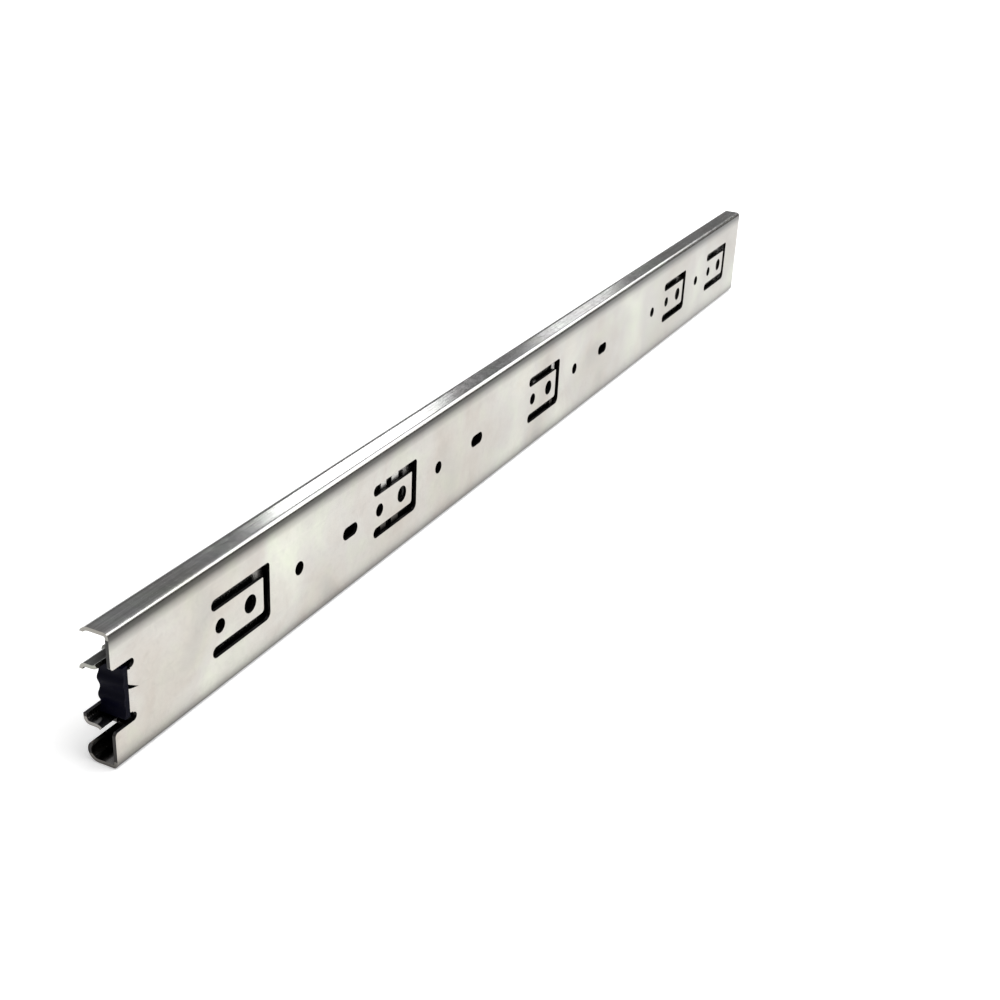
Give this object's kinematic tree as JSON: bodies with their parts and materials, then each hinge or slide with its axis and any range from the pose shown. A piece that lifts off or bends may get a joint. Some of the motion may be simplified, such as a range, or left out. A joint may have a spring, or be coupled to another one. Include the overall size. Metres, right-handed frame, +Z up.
{
  "type": "ball-bearing drawer slide",
  "caption": "Full-extension side-mount drawer slide: cabinet, intermediate and drawer members on ball rows in cages, with screw holes, tab slots, a rubber rear bumper and a release lever.",
  "frame": {"origin": "front end of the cabinet member, on its mounting face, half way up", "axes": "+X the way the drawer opens, +Y from the cabinet side to the drawer, +Z up"},
  "size_m": [0.545, 0.0127, 0.0456],
  "materials": {
    "zinc": "bright zinc-plated rolled steel, satin with faint mottling",
    "cage_steel": "plain pressed steel, dull",
    "ball_steel": "polished bearing steel",
    "rivet_steel": "zinc-plated rivet",
    "bumper_rubber": "blue-black satin rubber",
    "stop_plastic": "black moulded plastic",
    "lever_plastic": "black moulded plastic"
  },
  "bodies": {
    "cabinet": {"cabinet_member": "zinc", "rear_bumper": "bumper_rubber"},
    "outer_ball_cage": {"outer_cage": "cage_steel", "outer_balls_upper_front": "ball_steel", "outer_balls_upper_rear": "ball_steel", "outer_balls_lower_front": "ball_steel", "outer_balls_lower_rear": "ball_steel"},
    "intermediate": {"intermediate_member": "zinc", "closing_stop": "stop_plastic"},
    "inner_ball_cage": {"inner_cage": "cage_steel", "inner_balls_upper_front": "ball_steel", "inner_balls_upper_rear": "ball_steel", "inner_balls_lower_front": "ball_steel", "inner_balls_lower_rear": "ball_steel"},
    "drawer": {"drawer_member": "zinc", "lever_pivot_rivet": "rivet_steel", "lever_guide_rivet": "rivet_steel"},
    "lever": {"release_lever": "lever_plastic"}
  },
  "joints": [
    {"name": "intermediate_slide", "type": "slide", "parent": "cabinet", "child": "intermediate", "axis": [1, 0, 0], "range_m": [0, 0.272]},
    {"name": "outer_cage_slide", "type": "slide", "parent": "cabinet", "child": "outer_ball_cage", "axis": [1, 0, 0], "range_m": [0, 0.136]},
    {"name": "drawer_slide", "type": "slide", "parent": "intermediate", "child": "drawer", "axis": [1, 0, 0], "range_m": [0, 0.273]},
    {"name": "inner_cage_slide", "type": "slide", "parent": "intermediate", "child": "inner_ball_cage", "axis": [1, 0, 0], "range_m": [0, 0.1365]},
    {"name": "lever_pivot", "type": "hinge", "parent": "drawer", "child": "lever", "pos_m": [-0.255, 0.0092, 0], "axis": [0, 1, 0], "range_deg": [0, 5.5], "stiffness_Nm_per_rad": 0.05, "springref_deg": -5.73}
  ],
  "couplings": [
    {"joint": "outer_cage_slide", "follows": "intermediate_slide", "ratio": 0.5},
    {"joint": "inner_cage_slide", "follows": "drawer_slide", "ratio": 0.5}
  ]
}
